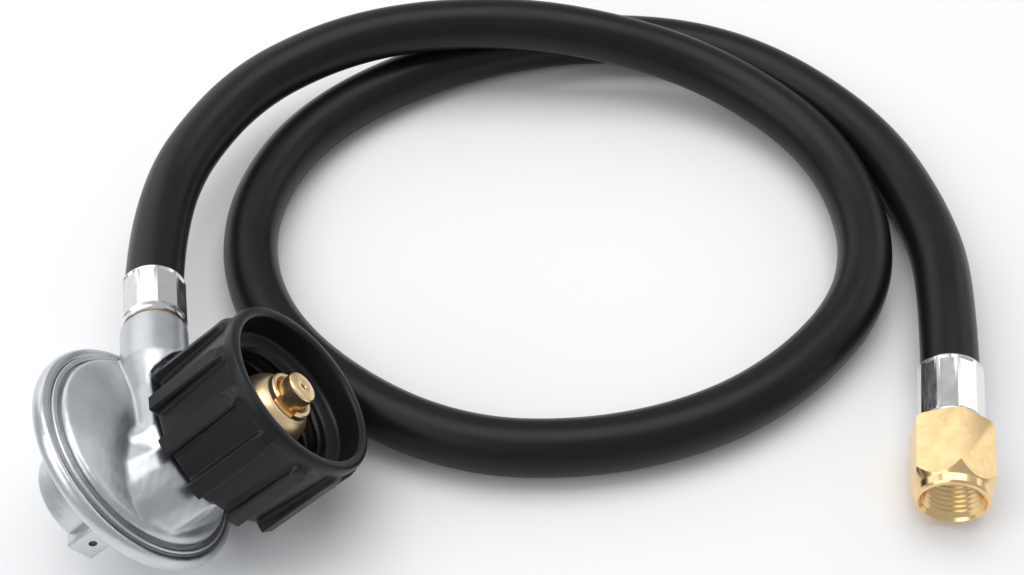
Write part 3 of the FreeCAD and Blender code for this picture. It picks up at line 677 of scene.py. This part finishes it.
def flare_nut():
    """Hexagonal brass nut: chamfered corners, round mouth rim and a fine inside thread."""
    across_flats = 19.05
    corner = across_flats / math.sqrt(3)
    turn = Matrix.Rotation(math.radians(1.5), 4, "Z")
    hexagon = rod("flare_nut", corner, 18.4, 40, 6, turn)
    envelope = spun("envelope", [
        (0, 18.4), (corner - 0.7, 18.4), (corner + 0.1, 19.2), (corner + 0.1, 34), (9.35, 37.4),
        (9.2, 39.3), (8.9, 39.8), (8.5, 40), (0, 40),
    ])
    bore = spun("bore", [(0, 21.4), (7.1, 21.4), (7.5, 26.8), (7.5, 39), (8.3, 40.2), (0, 40.2)], 96)
    combine(hexagon, [envelope], "INTERSECT")
    combine(hexagon, [rod("neck_bore", 5.6, 17, 30, 64), bore], "DIFFERENCE")
    soften(hexagon, 0.17, 2, 20)
    join(hexagon, thread("flare_thread", 7.62, 0.62, 1.411, 27.2, 8.2, 72))
    brass = turned_brass("flare_brass", FREE_END)
    return hand_over(hexagon, FREE_END, brass, "flare_nut", "brass", "swivel_nut", smooth=25)


def sleeve(name, place, outline, crimp, node):
    """Crimped ferrule: a turned sleeve pressed flat ten times between two heights."""
    body = spun(name, outline, 160)
    flats, flat = 10, 7.98
    edit(body)
    for _ in range(flats):
        pick(body, "vertices", lambda vertex: vertex.co.x > flat - 0.02 and crimp[0] < vertex.co.z < crimp[1])
        bpy.ops.transform.resize(value=(0.0, 1, 1), center_override=(flat, 0, 0))
        bpy.ops.mesh.select_all(action="SELECT")
        bpy.ops.transform.rotate(value=math.tau / flats, orient_axis="Z", center_override=(0, 0, 0))
    leave_edit()
    nickel = bright_nickel(f"{name}_nickel", place)
    return hand_over(body, place, nickel, "regulator", "plated", node, smooth=14)


def regulator_sleeve():
    return sleeve("regulator_sleeve", OUTLET, [
        (7.1, 35.2), (7.9, 35.2), (8.15, 35.4), (8.2, 35.9), (8.15, 36.4), (7.95, 36.6), (7.95, 36.9),
        (8.35, 37.3), (8.4, 38.0), (8.4, 38.4), (8.4, 44), (8.4, 50.2), (8.4, 50.9), (8.25, 51.3),
        (8.0, 51.4), (7.55, 51.4), (7.52, 36.2), (7.1, 36.2),
    ], (37.9, 50.6), "ferrule_regulator_end")


def free_sleeve():
    return sleeve("free_sleeve", FREE_END, [
        (7.52, 0), (8.0, 0), (8.25, 0.1), (8.4, 0.5), (8.4, 1.2), (8.4, 9), (8.4, 16.2), (8.4, 16.9),
        (8.25, 17.4), (8.0, 17.6), (7.1, 17.6), (7.1, 16.6), (7.52, 16.6),
    ], (0.9, 16.6), "ferrule_outlet_end")


HOSE_ROUTE = [
    (-0.0163, 0.0253, 0.0272),
    (-0.0248, 0.0708, 0.0213),
    (-0.0080, 0.1145, 0.0225),
    (0.0200, 0.1380, 0.0225),
    (0.0515, 0.1460, 0.0236),
    (0.0880, 0.1450, 0.0236),
    (0.1325, 0.1390, 0.0135),
    (0.1685, 0.1070, 0.0086),
    (0.1745, 0.0575, 0.0076),
    (0.1430, 0.0190, 0.0076),
    (0.1005, 0.0015, 0.0076),
    (0.0535, 0.0030, 0.0076),
    (0.0100, 0.0355, 0.0076),
    (-0.0030, 0.0770, 0.0076),
    (0.0125, 0.1190, 0.0076),
    (0.0540, 0.1480, 0.0076),
    (0.1015, 0.1590, 0.0076),
    (0.1440, 0.1510, 0.0076),
    (0.1790, 0.1170, 0.0076),
    (0.1920, 0.0765, 0.0078),
    (0.1901, 0.0437, 0.0110),
    (0.1849, 0.0115, 0.0110),
]
HOSE_DIAMETER = 0.015


def rubber_hose():
    """Hose laid in one and a half turns, crossing over itself at the far side."""
    line = bpy.data.curves.new("rubber_hose", "CURVE")
    line.dimensions = "3D"
    spline = line.splines.new("NURBS")
    spline.points.add(len(HOSE_ROUTE) - 1)
    for point, place in zip(spline.points, HOSE_ROUTE):
        point.co = (*place, 1)
    spline.order_u = 3
    spline.use_endpoint_u = True
    spline.resolution_u = 16
    line.bevel_depth = HOSE_DIAMETER / 2
    line.bevel_resolution = 10
    line.use_fill_caps = True
    hose = bpy.data.objects.new("rubber_hose", line)
    bpy.context.scene.collection.objects.link(hose)
    line.materials.append(hose_rubber())
    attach(hose, "regulator")
    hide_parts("hose")


def finish_inner_nodes():
    """Finishes of the CAD nodes that stay: the hidden works and the stems."""
    steel = plated_steel()
    brass = turned_brass("stem_brass", REGULATOR)
    nitrile = moulded("nitrile", REGULATOR, (0.02, 0.02, 0.02), (0.035, 0.034, 0.033))
    nylon = moulded("nylon", INLET, (0.028, 0.028, 0.03), (0.045, 0.045, 0.047))
    finishes = {
        spun_zinc(): ["closing_cap"],
        steel: [
            "vent_screen", "adjusting_screw", "diaphragm_plate", "diaphragm_stem", "valve_lever", "lever_pin",
            "lever_bracket", "bracket_screws", "main_spring", "limiter_spring", "inlet_filter",
        ],
        brass: ["inlet_orifice", "limiter_poppet", "seat_holder", "outlet_stem", "stem_outlet_end"],
        nitrile: ["diaphragm", "seat_pad"],
        nylon: ["thermal_bushing", "nut_washer"],
    }
    for finish, nodes in finishes.items():
        for name in nodes:
            for material_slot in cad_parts[name].material_slots:
                material_slot.material = finish


def lay_floor():
    floor = start_piece("floor", bpy.ops.mesh.primitive_plane_add, size=6, location=(0.07, 0.06, -0.0001))
    bpy.ops.object.transform_apply(location=True)
    floor.data.materials.append(pale_floor())


set_camera()
set_light()
swivel = flare_nut()
free_end = free_sleeve()
rubber_hose()
casting()
cover()
nipple()
post()
grip_nut()
regulator_sleeve()
finish_inner_nodes()
lay_floor()
